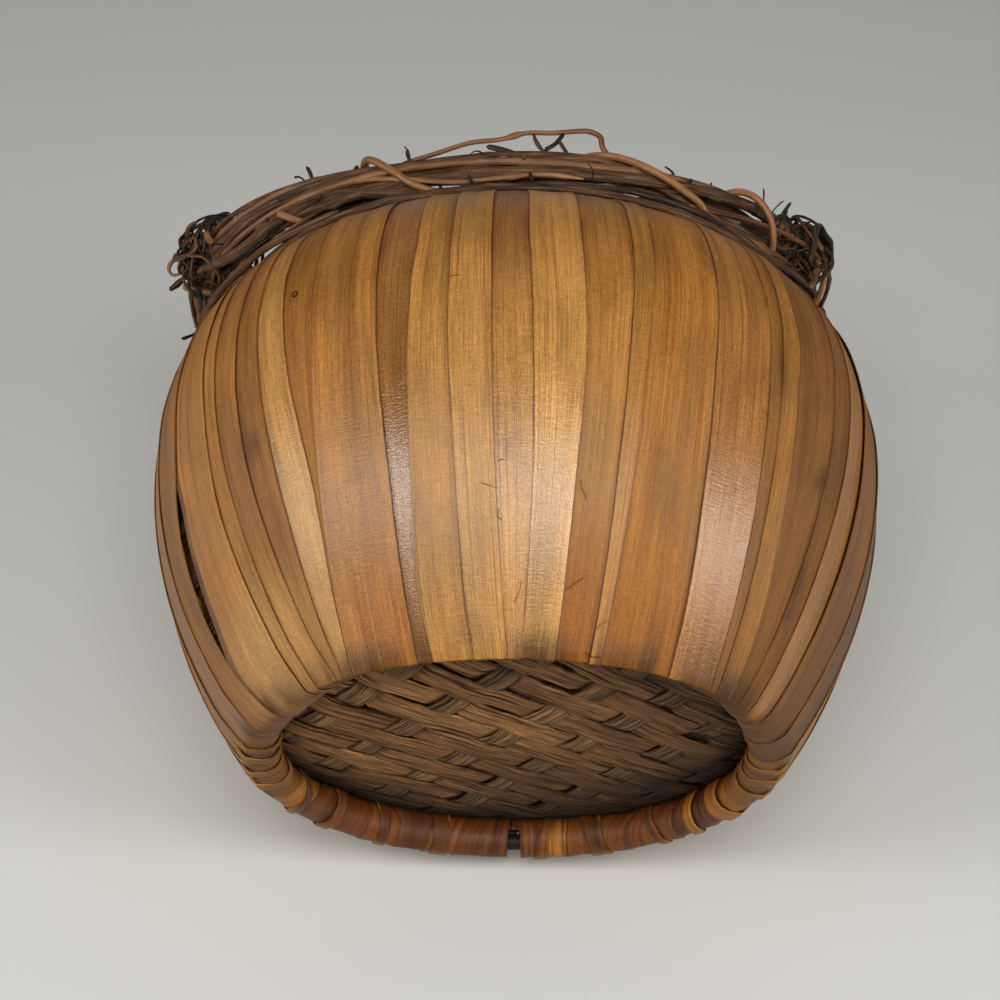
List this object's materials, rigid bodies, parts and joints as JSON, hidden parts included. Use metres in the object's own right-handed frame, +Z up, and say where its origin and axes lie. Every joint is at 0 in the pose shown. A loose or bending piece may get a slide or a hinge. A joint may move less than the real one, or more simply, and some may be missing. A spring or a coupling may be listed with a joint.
{
  "type": "pumpkin basket",
  "caption": "Bulging pumpkin-shaped basket of flat wood splits over a plaited liner, with a grapevine wreath round its open mouth.",
  "frame": {"origin": "centre of the bounding box at the level that the foot ring stands on", "axes": "+Z up out of the mouth; -Y is the side towards the camera in the picture, and +X is to the right there"},
  "size_m": [0.2776, 0.2778, 0.2168],
  "materials": {
    "split_wood": "satin varnish",
    "liner_wood": "dry",
    "hoop_wood": "dark stain",
    "vine_bark": "rough bark",
    "binder_bark": "smooth bark"
  },
  "bodies": {
    "root": {"wall_split_01": "split_wood", "wall_split_02": "split_wood", "wall_split_03": "split_wood", "wall_split_04": "split_wood", "wall_split_05": "split_wood", "wall_split_06": "split_wood", "wall_split_07": "split_wood", "wall_split_08": "split_wood", "wall_split_09": "split_wood", "wall_split_10": "split_wood", "wall_split_11": "split_wood", "wall_split_12": "split_wood", "wall_split_13": "split_wood", "wall_split_14": "split_wood", "wall_split_15": "split_wood", "wall_split_16": "split_wood", "wall_split_17": "split_wood", "wall_split_18": "split_wood", "wall_split_19": "split_wood", "wall_split_20": "split_wood", "wall_split_21": "split_wood", "wall_split_22": "split_wood", "wall_split_23": "split_wood", "wall_split_24": "split_wood", "wall_split_25": "split_wood", "wall_split_26": "split_wood", "wall_split_27": "split_wood", "wall_split_28": "split_wood", "wall_split_29": "split_wood", "wall_split_30": "split_wood", "wall_split_31": "split_wood", "wall_split_32": "split_wood", "wall_split_33": "split_wood", "wall_split_34": "split_wood", "wall_split_35": "split_wood", "wall_split_36": "split_wood", "wall_split_37": "split_wood", "wall_split_38": "split_wood", "wall_split_39": "split_wood", "wall_split_40": "split_wood", "wall_split_41": "split_wood", "wall_split_42": "split_wood", "wall_split_43": "split_wood", "wall_split_44": "split_wood", "wall_split_45": "split_wood", "foot_hoop": "hoop_wood", "rim_hoop": "hoop_wood", "woven_liner": "liner_wood", "vine_main_stem": "vine_bark", "vine_second_stem": "vine_bark", "vine_core_stem": "vine_bark", "vine_low_stem": "vine_bark", "vine_curl_left": "vine_bark", "vine_curl_right": "vine_bark", "vine_stray": "vine_bark", "vine_twig": "vine_bark", "vine_binder": "binder_bark"}
  },
  "joints": []
}
